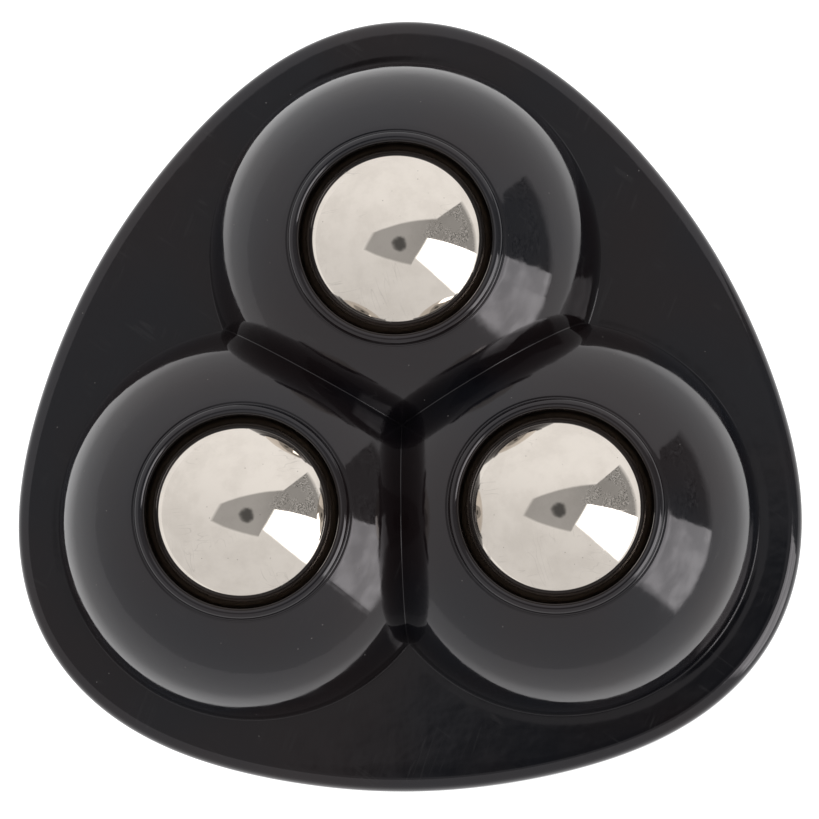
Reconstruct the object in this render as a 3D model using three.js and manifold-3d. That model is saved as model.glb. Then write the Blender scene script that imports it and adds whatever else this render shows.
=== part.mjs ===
// A self-adhesive triple ball caster: three steel load balls, each rolling on a ring of small
// bearing balls, under one moulded three-domed cover with a screwed and glued-on back.
// Millimetres, +Z up. The origin is on the three-fold axis, at the lowest face of the back.

import * as THREE from "three";
import { mergeVertices } from "three/addons/utils/BufferGeometryUtils.js";
import Module from "manifold-3d";

const wasm = await Module();
wasm.setup();

// ---- Driving dimensions, in millimetres and degrees ----

// Plan outline: a rounded triangle as a circle with a three-lobed and a six-lobed wave.
const OUTLINE_RADIUS = 28.03;
const CORNER_WAVE = 2.2;
const CORNER_SQUARENESS = 0.235;
const OUTLINE_SEGMENTS = 60;

// The three ball stations, the first towards +Y.
const STATION_ANGLES = [90, 210, 330];
const STATION_RADIUS = 12.9;

// Layers from the back face up.
const LINER_THICKNESS = 0.15;
const PAD_THICKNESS = 1.0;
const BACK_Z = LINER_THICKNESS + PAD_THICKNESS;
const BASE_TOP_Z = 2.45;
const FLANGE_UNDERSIDE_Z = 2.5;
const FLANGE_TOP_Z = 5.12;
const BALL_CENTRE_Z = 11.0;

// Balls: standard 5/8 inch load balls on standard 1/8 inch bearing balls.
const LOAD_BALL_RADIUS = 15.875 / 2;
const BEARING_BALL_RADIUS = 3.175 / 2;
const BEARING_BALL_COUNT = 12;
const LOAD_GAP = 0.05;
const BEARING_OFFSET = (LOAD_BALL_RADIUS + BEARING_BALL_RADIUS + LOAD_GAP) * Math.SQRT1_2;
const BEARING_Z = BALL_CENTRE_Z - BEARING_OFFSET;

// Cover: domes on a flange with a skirt, each with a rolled lip round its ball. A dome's radius
// grows as a power of the sine of its lean: 1 would be a hemisphere, and less is flatter on top.
const DOME_RADIUS = 14.3;
const DOME_POWER = 0.8;
const DOME_WALL = 1.7;
const HOLLOW_TOP_RADIUS = 6.3;
const SKIRT_WALL = 1.6;
const EDGE_ROUND = 1.0;
const LIP_BORE_RADIUS = 6.9;
const LIP_OUTER_RADIUS = 7.63;
const LIP_CREST_Z = 16.1;
const POCKET_RADIUS = 8.12;

// Race cup under each load ball, set in a shallow pocket of the base plate.
const CUP_WALL = 0.5;
const CUP_FLOOR_Z = 2.7;
const CUP_TOP_Z = 6.1;
const GROOVE_RADIUS = BEARING_BALL_RADIUS + 0.08;
const CUP_OUTER_RADIUS = BEARING_OFFSET + GROOVE_RADIUS + CUP_WALL;
const CUP_BOTTOM_Z = BEARING_Z - GROOVE_RADIUS - CUP_WALL;
const CUP_POCKET_Z = CUP_BOTTOM_Z - 0.06;
const CUP_POCKET_RADIUS = CUP_OUTER_RADIUS + 0.15;

// Retainer sleeve between the cup and the dome.
const SLEEVE_BORE_RADIUS = 8.15;
const SLEEVE_OUTER_RADIUS = 9.0;
const SLEEVE_BOTTOM_Z = CUP_TOP_Z + 0.1;
const SLEEVE_TOP_Z = 12.2;
const SLEEVE_CHAMFER = 0.25;

// Screws from behind, on bosses below the creases between the domes.
const SCREW_ANGLES = [30, 150, 270];
const SCREW_CIRCLE_RADIUS = 8.5;
const BOSS_RADIUS = 2.0;
const BOSS_TOP_Z = 13.0;
const PILOT_RADIUS = 1.08;
const PILOT_TOP_Z = 8.2;
const SCREW_HOLE_RADIUS = 1.2;
const SCREW_HEAD_RADIUS = 1.8;
const SCREW_HEAD_Z = BACK_Z + 0.1;
const SCREW_HEAD_HEIGHT = 0.8;
const SCREW_CREST_RADIUS = 1.0;
const SCREW_ROOT_RADIUS = 0.78;
const SCREW_PITCH = 0.8;
const SCREW_THREADS = 6;
const SCREW_SEGMENTS = 12;

// Back layers sit inside the skirt, or inside the outline.
const BASE_INSET = SKIRT_WALL + 0.15;
const PAD_INSET = 1.2;

// Facets round each turned shape.
const DOME_SEGMENTS = 36;
const HOLLOW_SEGMENTS = 24;
const RING_SEGMENTS = 24;

// Overshoot that carries a cutting solid past the face it cuts.
const PAST = 1.0;

// ---- Materials ----

function material(color, roughness, metalness) {
  return new THREE.MeshStandardMaterial({ color, roughness, metalness });
}

const blackPlastic = material(0x1b1b1e, 0.15, 0.0);
const basePlastic = material(0x232326, 0.45, 0.0);
const sleevePlastic = material(0xe6e2d8, 0.4, 0.0);
const ballSteel = material(0xdcd6cf, 0.08, 1.0);
const cupSteel = material(0xb4b4b2, 0.3, 1.0);
const screwSteel = material(0x9c9c9a, 0.35, 1.0);
const padFoam = material(0xdadad6, 0.8, 0.0);
const linerPaper = material(0xc8934a, 0.6, 0.0);

// ---- Solids: three.js geometry to a manifold solid and back ----

// Merges the shared vertices and drops the empty triangles at the poles.
function solidOf(geometry) {
  const bare = geometry.clone();
  bare.deleteAttribute("normal");
  bare.deleteAttribute("uv");
  const merged = mergeVertices(bare);
  const corners = merged.index.array;
  const triangles = [];
  for (let i = 0; i < corners.length; i += 3) {
    const [a, b, c] = [corners[i], corners[i + 1], corners[i + 2]];
    if (a !== b && b !== c && c !== a) triangles.push(a, b, c);
  }
  return new wasm.Manifold(new wasm.Mesh({
    numProp: 3,
    vertProperties: new Float32Array(merged.attributes.position.array),
    triVerts: new Uint32Array(triangles),
  }));
}

function geometryOf(solid) {
  const mesh = solid.getMesh();
  const geometry = new THREE.BufferGeometry();
  geometry.setAttribute("position", new THREE.BufferAttribute(mesh.vertProperties, 3));
  geometry.setIndex(new THREE.BufferAttribute(mesh.triVerts, 1));
  geometry.computeVertexNormals();
  return geometry;
}

function union(solids) {
  return solids.reduce((all, next) => all.add(next));
}

// ---- Shapes ----

const radians = THREE.MathUtils.degToRad;

// The point on a circle about the main axis at an angle from +X.
function around(angle, radius, z = 0) {
  return new THREE.Vector3(radius * Math.cos(radians(angle)), radius * Math.sin(radians(angle)), z);
}

// The plan outline moved inwards by an inset, with a corner towards each station.
function outline(inset) {
  const points = [];
  for (let i = 0; i < OUTLINE_SEGMENTS; i += 1) {
    const angle = (i / OUTLINE_SEGMENTS) * 2 * Math.PI;
    const fromCorner = angle - Math.PI / 2;
    const radius = OUTLINE_RADIUS + CORNER_WAVE * Math.cos(3 * fromCorner)
      + CORNER_SQUARENESS * Math.cos(6 * fromCorner);
    const slope = -3 * CORNER_WAVE * Math.sin(3 * fromCorner)
      - 6 * CORNER_SQUARENESS * Math.sin(6 * fromCorner);
    const out = new THREE.Vector2(radius, -slope).normalize().rotateAround(new THREE.Vector2(), angle);
    points.push(new THREE.Vector2(radius, 0).rotateAround(new THREE.Vector2(), angle)
      .addScaledVector(out, -inset));
  }
  return new THREE.Shape(points);
}

// A flat plate of the plan outline between two heights.
function plate(inset, bottom, top) {
  const geometry = new THREE.ExtrudeGeometry(outline(inset), { depth: top - bottom, bevelEnabled: false });
  return geometry.translate(0, 0, bottom);
}

// A solid of revolution about Z from [radius, height] pairs.
function turned(profile, segments) {
  const points = profile.map(([radius, z]) => new THREE.Vector2(radius, z));
  return new THREE.LatheGeometry(points, segments).rotateX(Math.PI / 2);
}

function cylinder(radius, bottom, top, segments) {
  return turned([[0, bottom], [radius, bottom], [radius, top], [0, top]], segments);
}

// Profile points along an arc about [centreRadius, centreZ]; angles from outwards, towards +Z.
function arc(centreRadius, centreZ, radius, fromAngle, toAngle, steps) {
  const points = [];
  for (let i = 0; i <= steps; i += 1) {
    const angle = radians(fromAngle + ((toAngle - fromAngle) * i) / steps);
    points.push([centreRadius + radius * Math.cos(angle), centreZ + radius * Math.sin(angle)]);
  }
  return points;
}

function degreesOf(cosine) {
  return THREE.MathUtils.radToDeg(Math.acos(cosine));
}

// ---- Cover shell ----

// The height above its foot of a dome with a foot radius, where its surface leans by an angle.
function domeHeight(footRadius, lean) {
  const steps = 200;
  const rest = Math.PI / 2 - lean;
  let sum = 0;
  for (let i = 0; i < steps; i += 1) {
    sum += Math.sin(lean + (rest * (i + 0.5)) / steps) ** DOME_POWER;
  }
  return (footRadius * DOME_POWER * rest * sum) / steps;
}

// Profile points of a dome from its foot on the flange up to a smaller radius.
function domeProfile(footRadius, topRadius, steps) {
  const topLean = Math.asin((topRadius / footRadius) ** (1 / DOME_POWER));
  const points = [];
  for (let i = 0; i <= steps; i += 1) {
    const lean = Math.PI / 2 + ((topLean - Math.PI / 2) * i) / steps;
    points.push([footRadius * Math.sin(lean) ** DOME_POWER, FLANGE_TOP_Z + domeHeight(footRadius, lean)]);
  }
  return points;
}

// The outer dome up to the lip, then a half-round bead, closed flat across the top.
function domeOutside() {
  const beadRadius = (LIP_OUTER_RADIUS - LIP_BORE_RADIUS) / 2;
  const beadCentre = LIP_BORE_RADIUS + beadRadius;
  return turned([
    [0, FLANGE_TOP_Z - EDGE_ROUND],
    [DOME_RADIUS, FLANGE_TOP_Z - EDGE_ROUND],
    ...domeProfile(DOME_RADIUS, LIP_OUTER_RADIUS, 7),
    ...arc(beadCentre, LIP_CREST_Z - beadRadius, beadRadius, 0, 90, 2),
    [0, LIP_CREST_Z],
  ], DOME_SEGMENTS);
}

// The hollow under a dome, which runs straight down through the flange.
function domeInside() {
  const radius = DOME_RADIUS - DOME_WALL;
  const profile = domeProfile(radius, HOLLOW_TOP_RADIUS, 5);
  return turned([
    [0, FLANGE_UNDERSIDE_Z - PAST / 2],
    [radius, FLANGE_UNDERSIDE_Z - PAST / 2],
    ...profile,
    [0, profile.at(-1)[1]],
  ], HOLLOW_SEGMENTS);
}

// What the load ball takes out of the lip: a spherical pocket below, a short round bore above.
function ballBore() {
  const meet = degreesOf(LIP_BORE_RADIUS / POCKET_RADIUS);
  const beadRadius = (LIP_OUTER_RADIUS - LIP_BORE_RADIUS) / 2;
  const beadCentre = LIP_BORE_RADIUS + beadRadius;
  return turned([
    [0, BALL_CENTRE_Z],
    ...arc(0, BALL_CENTRE_Z, POCKET_RADIUS, 0, meet, 3),
    ...arc(beadCentre, LIP_CREST_Z - beadRadius, beadRadius, 180, 105, 2),
    [beadCentre, LIP_CREST_Z + PAST],
    [0, LIP_CREST_Z + PAST],
  ], DOME_SEGMENTS);
}

// The flange with its skirt: the outline with its top and bottom edges rounded.
function flangeOutside() {
  return solidOf(new THREE.ExtrudeGeometry(outline(0), {
    depth: FLANGE_TOP_Z - BACK_Z - 2 * EDGE_ROUND,
    bevelEnabled: true,
    bevelThickness: EDGE_ROUND,
    bevelSize: EDGE_ROUND,
    bevelOffset: -EDGE_ROUND,
    bevelSegments: 4,
  }).translate(0, 0, BACK_Z + EDGE_ROUND));
}

function coverShell() {
  const at = (geometry) => STATION_ANGLES.map((angle) => {
    const { x, y } = around(angle, STATION_RADIUS);
    return solidOf(geometry.clone().translate(x, y, 0));
  });
  const atScrews = (radius, bottom, top) => SCREW_ANGLES.map((angle) => {
    const { x, y } = around(angle, SCREW_CIRCLE_RADIUS);
    return solidOf(cylinder(radius, bottom, top, SCREW_SEGMENTS).translate(x, y, 0));
  });
  const outside = union([flangeOutside(), ...at(domeOutside())]);
  const bosses = union(atScrews(BOSS_RADIUS, FLANGE_UNDERSIDE_Z, BOSS_TOP_Z));
  const hollow = union(at(domeInside())).subtract(bosses);
  const plateSeat = solidOf(plate(SKIRT_WALL, BACK_Z - PAST, FLANGE_UNDERSIDE_Z));
  const bores = union(at(ballBore()));
  const pilots = union(atScrews(PILOT_RADIUS, FLANGE_UNDERSIDE_Z - PAST, PILOT_TOP_Z));
  return geometryOf(outside.subtract(hollow).subtract(plateSeat).subtract(bores).subtract(pilots));
}

// ---- Base plate ----

// A flat plate with a round seat for each cup and a countersunk hole for each screw.
function basePlate() {
  const seat = cylinder(CUP_POCKET_RADIUS, CUP_POCKET_Z, BASE_TOP_Z + PAST, RING_SEGMENTS);
  const slack = SCREW_HOLE_RADIUS - SCREW_CREST_RADIUS;
  const headTop = SCREW_HEAD_Z + SCREW_HEAD_HEIGHT;
  const hole = turned([
    [0, BACK_Z - PAST],
    [SCREW_HEAD_RADIUS + slack, BACK_Z - PAST],
    [SCREW_HEAD_RADIUS + slack, SCREW_HEAD_Z],
    [SCREW_HOLE_RADIUS, headTop],
    [SCREW_HOLE_RADIUS, BASE_TOP_Z + PAST],
    [0, BASE_TOP_Z + PAST],
  ], SCREW_SEGMENTS);
  const cuts = [
    ...STATION_ANGLES.map((angle) => solidOf(seat.clone().translate(...around(angle, STATION_RADIUS)))),
    ...SCREW_ANGLES.map((angle) => solidOf(hole.clone().translate(...around(angle, SCREW_CIRCLE_RADIUS)))),
  ];
  return geometryOf(solidOf(plate(BASE_INSET, BACK_Z, BASE_TOP_Z)).subtract(union(cuts)));
}

// ---- Turned and bought pieces, each about its own axis ----

// A pressed pan with a round groove that the bearing balls run in.
function raceCup() {
  const grooveStart = -degreesOf(-Math.sqrt(1 - ((BEARING_Z - CUP_FLOOR_Z) / GROOVE_RADIUS) ** 2));
  const outerRadius = GROOVE_RADIUS + CUP_WALL;
  return turned([
    [0, CUP_BOTTOM_Z],
    ...arc(BEARING_OFFSET, BEARING_Z, outerRadius, -90, 0, 4),
    [CUP_OUTER_RADIUS, CUP_TOP_Z],
    [CUP_OUTER_RADIUS - CUP_WALL, CUP_TOP_Z],
    ...arc(BEARING_OFFSET, BEARING_Z, GROOVE_RADIUS, 0, grooveStart, 6),
    [0, CUP_FLOOR_Z],
  ], RING_SEGMENTS);
}

// A plain sleeve that guides the load ball and keeps the bearing balls down, eased at its top.
function ballRetainer() {
  return turned([
    [SLEEVE_BORE_RADIUS, SLEEVE_BOTTOM_Z],
    [SLEEVE_OUTER_RADIUS, SLEEVE_BOTTOM_Z],
    [SLEEVE_OUTER_RADIUS, SLEEVE_TOP_Z - SLEEVE_CHAMFER],
    [SLEEVE_OUTER_RADIUS - SLEEVE_CHAMFER, SLEEVE_TOP_Z],
    [SLEEVE_BORE_RADIUS, SLEEVE_TOP_Z],
    [SLEEVE_BORE_RADIUS, SLEEVE_BOTTOM_Z],
  ], RING_SEGMENTS);
}

// A countersunk self-tapping screw with a cross recess, head down.
function coverScrew() {
  const headTop = SCREW_HEAD_Z + SCREW_HEAD_HEIGHT;
  const threads = [];
  for (let i = 0; i < SCREW_THREADS; i += 1) {
    const z = headTop + 0.4 + i * SCREW_PITCH;
    threads.push([SCREW_ROOT_RADIUS, z], [SCREW_CREST_RADIUS, z + SCREW_PITCH / 2]);
  }
  const threadEnd = headTop + 0.4 + SCREW_THREADS * SCREW_PITCH;
  const body = turned([
    [0, SCREW_HEAD_Z],
    [SCREW_HEAD_RADIUS, SCREW_HEAD_Z],
    [SCREW_CREST_RADIUS, headTop],
    ...threads,
    [SCREW_ROOT_RADIUS, threadEnd],
    [0, threadEnd + SCREW_ROOT_RADIUS],
  ], SCREW_SEGMENTS);
  const slot = new THREE.BoxGeometry(2.0, 0.5, 1.0).translate(0, 0, SCREW_HEAD_Z);
  const crossSlot = slot.clone().rotateZ(Math.PI / 2);
  return geometryOf(solidOf(body).subtract(solidOf(slot).add(solidOf(crossSlot))));
}

function loadBall() {
  return new THREE.SphereGeometry(LOAD_BALL_RADIUS, 24, 12).rotateX(Math.PI / 2);
}

function bearingBall() {
  return new THREE.IcosahedronGeometry(BEARING_BALL_RADIUS, 1);
}

// ---- Assembly ----

const caster = new THREE.Group();

function place(parent, name, geometry, look, position = new THREE.Vector3()) {
  const mesh = new THREE.Mesh(geometry, look);
  mesh.name = name;
  mesh.position.copy(position);
  parent.add(mesh);
}

place(caster, "release_liner", plate(PAD_INSET, 0, LINER_THICKNESS), linerPaper);
place(caster, "adhesive_pad", plate(PAD_INSET, LINER_THICKNESS, BACK_Z), padFoam);
place(caster, "base_plate", basePlate(), basePlastic);
place(caster, "cover_shell", coverShell(), blackPlastic);

const cupGeometry = raceCup();
const retainerGeometry = ballRetainer();
const loadBallGeometry = loadBall();
const bearingBallGeometry = bearingBall();

STATION_ANGLES.forEach((angle, i) => {
  const station = new THREE.Group();
  station.position.copy(around(angle, STATION_RADIUS));
  caster.add(station);
  const number = i + 1;
  place(station, `race_cup_${number}`, cupGeometry, cupSteel);
  place(station, `ball_retainer_${number}`, retainerGeometry, sleevePlastic);
  place(station, `load_ball_${number}`, loadBallGeometry, ballSteel, new THREE.Vector3(0, 0, BALL_CENTRE_Z));
  for (let j = 0; j < BEARING_BALL_COUNT; j += 1) {
    const ringAngle = (j / BEARING_BALL_COUNT) * 360;
    const label = String(j + 1).padStart(2, "0");
    place(station, `bearing_ball_${number}_${label}`, bearingBallGeometry, ballSteel,
      around(ringAngle, BEARING_OFFSET, BEARING_Z));
  }
});

const screwGeometry = coverScrew();
SCREW_ANGLES.forEach((angle, i) => {
  place(caster, `cover_screw_${i + 1}`, screwGeometry, screwSteel, around(angle, SCREW_CIRCLE_RADIUS));
});

export default caster;
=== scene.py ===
"""The looks of the triple ball caster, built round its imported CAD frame.

Shapes are worked out in millimetres in the frame's own axes, and become metres as meshes are made.
"""

import math

import bmesh
import bpy
import numpy as np
from mathutils import Matrix, Vector


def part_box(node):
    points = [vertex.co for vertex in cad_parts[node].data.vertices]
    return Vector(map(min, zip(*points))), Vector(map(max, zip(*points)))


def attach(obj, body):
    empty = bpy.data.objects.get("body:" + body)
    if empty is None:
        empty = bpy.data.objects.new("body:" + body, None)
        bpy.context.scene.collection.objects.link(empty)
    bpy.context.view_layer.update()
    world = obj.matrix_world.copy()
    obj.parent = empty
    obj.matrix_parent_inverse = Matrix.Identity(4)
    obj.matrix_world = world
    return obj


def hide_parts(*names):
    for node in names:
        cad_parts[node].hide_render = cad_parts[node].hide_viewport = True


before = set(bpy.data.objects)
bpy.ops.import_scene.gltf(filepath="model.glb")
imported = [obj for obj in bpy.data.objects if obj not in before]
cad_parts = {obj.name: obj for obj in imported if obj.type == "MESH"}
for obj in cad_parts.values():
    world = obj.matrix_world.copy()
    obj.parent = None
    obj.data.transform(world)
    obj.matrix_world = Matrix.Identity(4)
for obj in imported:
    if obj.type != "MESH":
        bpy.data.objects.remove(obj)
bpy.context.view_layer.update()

# ---- Dimensions, in millimetres and degrees ----

MM = 0.001
MERGE_DISTANCE = 2e-7


def box_mm(node):
    """Lowest and highest corner of a CAD node, in millimetres."""
    low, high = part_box(node)
    return low / MM, high / MM


ball_low, ball_high = box_mm("load_ball_1")
cover_low, cover_high = box_mm("cover_shell")
sleeve_low, sleeve_high = box_mm("ball_retainer_1")

BALL_RADIUS = (ball_high.z - ball_low.z) / 2
BALL_CENTRE_Z = (ball_high.z + ball_low.z) / 2
BACK_Z = cover_low.z
LIP_CREST_Z = cover_high.z
LINER_TOP_Z = box_mm("adhesive_pad")[0].z
BASE_TOP_Z = box_mm("base_plate")[1].z
CUP_TOP_Z = box_mm("race_cup_1")[1].z
SLEEVE_BOTTOM_Z = sleeve_low.z
SLEEVE_TOP_Z = sleeve_high.z

OUTLINE_RADIUS = 28.03
CORNER_WAVE = 2.2
CORNER_SQUARENESS = 0.235
STATION_ANGLES = (90, 210, 330)
STATION_RADIUS = 12.9
FLANGE_TOP_Z = BALL_CENTRE_Z - 5.88
FLANGE_UNDERSIDE_Z = 2.5
DOME_RADIUS = 14.3
DOME_WALL = 1.7
HOLLOW_TOP_RADIUS = 6.3
DOME_POWER = 0.8
SKIRT_WALL = 1.6
EDGE_ROUND = 1.0
FILLET = 0.06
LIP_BORE_RADIUS = 6.9
LIP_OUTER_RADIUS = 7.63
POCKET_RADIUS = 8.12
SCREW_ANGLES = (30, 150, 270)
SCREW_CIRCLE_RADIUS = 8.5
BOSS_RADIUS = 2.0
BOSS_TOP_Z = 13.0
PILOT_RADIUS = 1.08
PILOT_TOP_Z = 8.2
SCREW_HOLE_RADIUS = 1.2
SCREW_HEAD_RADIUS = 1.8
SCREW_HEAD_HEIGHT = 0.8
SCREW_CREST_RADIUS = 1.0
SCREW_ROOT_RADIUS = 0.78
SCREW_PITCH = 0.8
SCREW_THREADS = 6

BEARING_RADIUS = 3.175 / 2
BEARING_COUNT = 12
LOAD_GAP = 0.05
BEARING_OFFSET = (BALL_RADIUS + BEARING_RADIUS + LOAD_GAP) / math.sqrt(2)
BEARING_Z = BALL_CENTRE_Z - BEARING_OFFSET
GROOVE_RADIUS = BEARING_RADIUS + 0.08
CUP_WALL = 0.5
CUP_FLOOR_Z = 2.7
CUP_OUTER_RADIUS = BEARING_OFFSET + GROOVE_RADIUS + CUP_WALL
CUP_BOTTOM_Z = BEARING_Z - GROOVE_RADIUS - CUP_WALL
CUP_SLACK = 0.15
CUP_DROP = 0.06
SLEEVE_BORE_RADIUS = 8.15
SLEEVE_OUTER_RADIUS = 9.0
SLEEVE_EDGE = 0.25
SLEEVE_BEVEL = 0.1
BASE_INSET = SKIRT_WALL + 0.15
BASE_BEVEL = 0.15
PAD_INSET = 1.2
PAD_PINCH = 0.06
SLIT_WIDTH = 0.12
SLIT_DEPTH = 0.07
SLIT_Y = 2
PAST = 1.0

# Steps round a full turn
OUTLINE_STEPS = 240
SLEEVE_STEPS = 120
CUP_STEPS = 96
HOLE_STEPS = 48
SCREW_STEPS = 32

SMOOTH_ANGLE = 35
SCREW_SMOOTH_ANGLE = 28


def sin(angle):
    return math.sin(math.radians(angle))


def cos(angle):
    return math.cos(math.radians(angle))


def full_turn(steps):
    """Evenly spaced angles of a full turn, in radians."""
    return np.arange(steps) * 2 * math.pi / steps


# ---- Camera ----

# The view leans by VIEW_TILT from the vertical towards the VIEW_TOWARDS direction. It aims at the
# point VIEW_AIM to the right of and above the middle of the flange's top.
VIEW_TILT = 6.61
VIEW_TOWARDS = -57.9
VIEW_DISTANCE = 403.6
VIEW_ROLL = -0.66
VIEW_AIM = (0.197, 1.689)
LENS = 243.6
SENSOR_WIDTH = 36
CLIP_START = 0.01
CLIP_END = 10


def make_camera():
    """Places the camera and returns its right, up and back axes."""
    back = Vector((
        sin(VIEW_TILT) * cos(VIEW_TOWARDS),
        sin(VIEW_TILT) * sin(VIEW_TOWARDS),
        cos(VIEW_TILT),
    ))
    up = Vector((-sin(VIEW_ROLL), cos(VIEW_ROLL), 0))
    right = up.cross(back).normalized()
    up = back.cross(right)
    middle = Vector((0, 0, FLANGE_TOP_Z))
    place = middle + back * VIEW_DISTANCE
    look_back = (place - middle - right * VIEW_AIM[0] - up * VIEW_AIM[1]).normalized()
    look_right = up.cross(look_back).normalized()
    look_up = look_back.cross(look_right)
    data = bpy.data.cameras.new("camera")
    data.sensor_width = SENSOR_WIDTH
    data.lens = LENS
    data.clip_start = CLIP_START
    data.clip_end = CLIP_END
    camera = bpy.data.objects.new("camera", data)
    bpy.context.scene.collection.objects.link(camera)
    axes = Matrix((look_right, look_up, look_back)).transposed()
    camera.matrix_world = Matrix.Translation(place * MM) @ axes.to_4x4()
    bpy.context.scene.camera = camera
    return right, up, back


VIEW_AXES = make_camera()


# ---- Mesh builders ----


def solid(name, points, faces):
    """A closed mesh from millimetre points, with shared points merged and faces turned outwards."""
    mesh = bpy.data.meshes.new(name)
    mesh.from_pydata([tuple(p) for p in np.asarray(points, float) * MM], [], faces)
    work = bmesh.new()
    work.from_mesh(mesh)
    bmesh.ops.remove_doubles(work, verts=work.verts, dist=MERGE_DISTANCE)
    bmesh.ops.recalc_face_normals(work, faces=work.faces)
    work.to_mesh(mesh)
    work.free()
    piece = bpy.data.objects.new(name, mesh)
    bpy.context.scene.collection.objects.link(piece)
    return piece


def combine(piece, others, operation):
    """Applies a boolean of each other solid to a piece and removes the others."""
    for other in others:
        modifier = piece.modifiers.new("boolean", "BOOLEAN")
        modifier.object = other
        modifier.operation = operation
        modifier.solver = "MANIFOLD"
        graph = bpy.context.evaluated_depsgraph_get()
        result = bpy.data.meshes.new_from_object(piece.evaluated_get(graph))
        piece.modifiers.clear()
        piece.data = result
        bpy.data.objects.remove(other)
    return piece


def finish_piece(piece, material, body, node, smooth_angle=SMOOTH_ANGLE):
    """Shades a piece, gives it its material, and stands it in for a CAD node on its body."""
    piece.data.polygons.foreach_set("use_smooth", [True] * len(piece.data.polygons))
    piece.data.set_sharp_from_angle(angle=math.radians(smooth_angle))
    piece.data.materials.clear()
    piece.data.materials.append(material)
    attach(piece, body)
    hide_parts(node)


def grid_faces(rows, columns, closed):
    """Quads of a grid of points stored row by row; closed joins the last column to the first."""
    faces = []
    for i in range(rows - 1):
        for j in range(columns if closed else columns - 1):
            k = (j + 1) % columns
            faces.append((i * columns + j, i * columns + k, (i + 1) * columns + k, (i + 1) * columns + j))
    return faces


def shifted(faces, offset):
    """The same faces with their point numbers moved on by an offset."""
    return [tuple(offset + k for k in face) for face in faces]


def turned(profile, steps, centre):
    """Points and faces of a solid of revolution; the profile closes on itself or on the axis."""
    points = [
        (centre[0] + r * math.cos(t), centre[1] + r * math.sin(t), centre[2] + z)
        for r, z in profile for t in full_turn(steps)
    ]
    return points, grid_faces(len(profile), steps, True)


def arc(centre, height, radius, start, end, steps):
    """Profile points of an arc; its angles are 0 outwards and 90 upwards."""
    return [
        (centre + radius * cos(start + (end - start) * i / steps),
         height + radius * sin(start + (end - start) * i / steps))
        for i in range(steps + 1)
    ]


def post(name, radius, bottom, top, centre, steps=HOLE_STEPS):
    """A plain cylinder, for cutting."""
    profile = [(0, bottom), (radius, bottom), (radius, top), (0, top)]
    return solid(name, *turned(profile, steps, centre))


def slab(name, size, centre):
    """A box, for cutting."""
    corners = [
        [centre[k] + (size[k] / 2 if bits >> k & 1 else -size[k] / 2) for k in range(3)]
        for bits in range(8)
    ]
    sides = [(0, 1, 3, 2), (4, 5, 7, 6), (0, 1, 5, 4), (2, 3, 7, 6), (0, 2, 6, 4), (1, 3, 7, 5)]
    return solid(name, corners, sides)


def outline(angles, inset=0.0):
    """The plan outline at angles from +X in radians, moved inwards by an inset."""
    lobe = angles - math.pi / 2
    radius = OUTLINE_RADIUS + CORNER_WAVE * np.cos(3 * lobe) + CORNER_SQUARENESS * np.cos(6 * lobe)
    slope = -3 * CORNER_WAVE * np.sin(3 * lobe) - 6 * CORNER_SQUARENESS * np.sin(6 * lobe)
    out = np.stack([np.cos(angles), np.sin(angles)], -1)
    along = np.stack([-np.sin(angles), np.cos(angles)], -1)
    normal = radius[..., None] * out - slope[..., None] * along
    normal /= np.linalg.norm(normal, axis=-1, keepdims=True)
    return radius[..., None] * out - inset * normal


def outline_row(angles, inset, height):
    """Points of the inset outline, all at one height."""
    return np.column_stack([outline(angles, inset), np.full(len(angles), height)])


def plate(name, layers):
    """A solid of the plan outline from (inset, height) layers, lowest first."""
    angles = full_turn(OUTLINE_STEPS)
    points = np.concatenate([outline_row(angles, inset, height) for inset, height in layers])
    faces = grid_faces(len(layers), OUTLINE_STEPS, True)
    bottom = tuple(range(OUTLINE_STEPS))
    faces += [bottom, *shifted([bottom], len(points) - OUTLINE_STEPS)]
    return solid(name, points, faces)


def station_centre(angle, z=0.0):
    return np.array([STATION_RADIUS * cos(angle), STATION_RADIUS * sin(angle), z])


def screw_centre(angle, z=0.0):
    return np.array([SCREW_CIRCLE_RADIUS * cos(angle), SCREW_CIRCLE_RADIUS * sin(angle), z])


# ---- Material builders ----


def new_material(name, colour, roughness, metallic=0.0):
    """A Principled material; returns it with its node tree and shader."""
    material = bpy.data.materials.new(name)
    material.use_nodes = True
    shader = material.node_tree.nodes["Principled BSDF"]
    shader.inputs["Base Color"].default_value = (*colour, 1)
    shader.inputs["Roughness"].default_value = roughness
    shader.inputs["Metallic"].default_value = metallic
    return material, material.node_tree, shader


def add_node(tree, kind, settings=None, **inputs):
    """A new node with its settings and its input values or links."""
    item = tree.nodes.new(kind)
    for name, value in (settings or {}).items():
        setattr(item, name, value)
    for name, value in inputs.items():
        socket = item.inputs[int(name[1:])] if name[0] == "_" else item.inputs[name.replace("_", " ")]
        if isinstance(value, bpy.types.NodeSocket):
            tree.links.new(value, socket)
        else:
            socket.default_value = value
    return item


def place_on_object(tree, scale=(1, 1, 1), turn=(0, 0, 0)):
    """Object coordinates in millimetres, turned in degrees and then scaled."""
    where = add_node(tree, "ShaderNodeTexCoord").outputs["Object"]
    angles = [math.radians(angle) for angle in turn]
    sizes = [size / MM for size in scale]
    spun = add_node(tree, "ShaderNodeMapping", Vector=where, Rotation=angles)
    return add_node(tree, "ShaderNodeMapping", Vector=spun.outputs[0], Scale=sizes).outputs[0]


def noise(tree, vector, scale, detail=2.0, roughness=0.5):
    made = add_node(tree, "ShaderNodeTexNoise", Vector=vector, Scale=scale, Detail=detail,
                    Roughness=roughness)
    return made.outputs["Fac"]


def clouds(tree, scale, detail=2.0, roughness=0.5):
    """Noise over the object, alike in every direction; scale is per millimetre."""
    return noise(tree, place_on_object(tree, (scale, scale, scale)), 1.0, detail, roughness)


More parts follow.
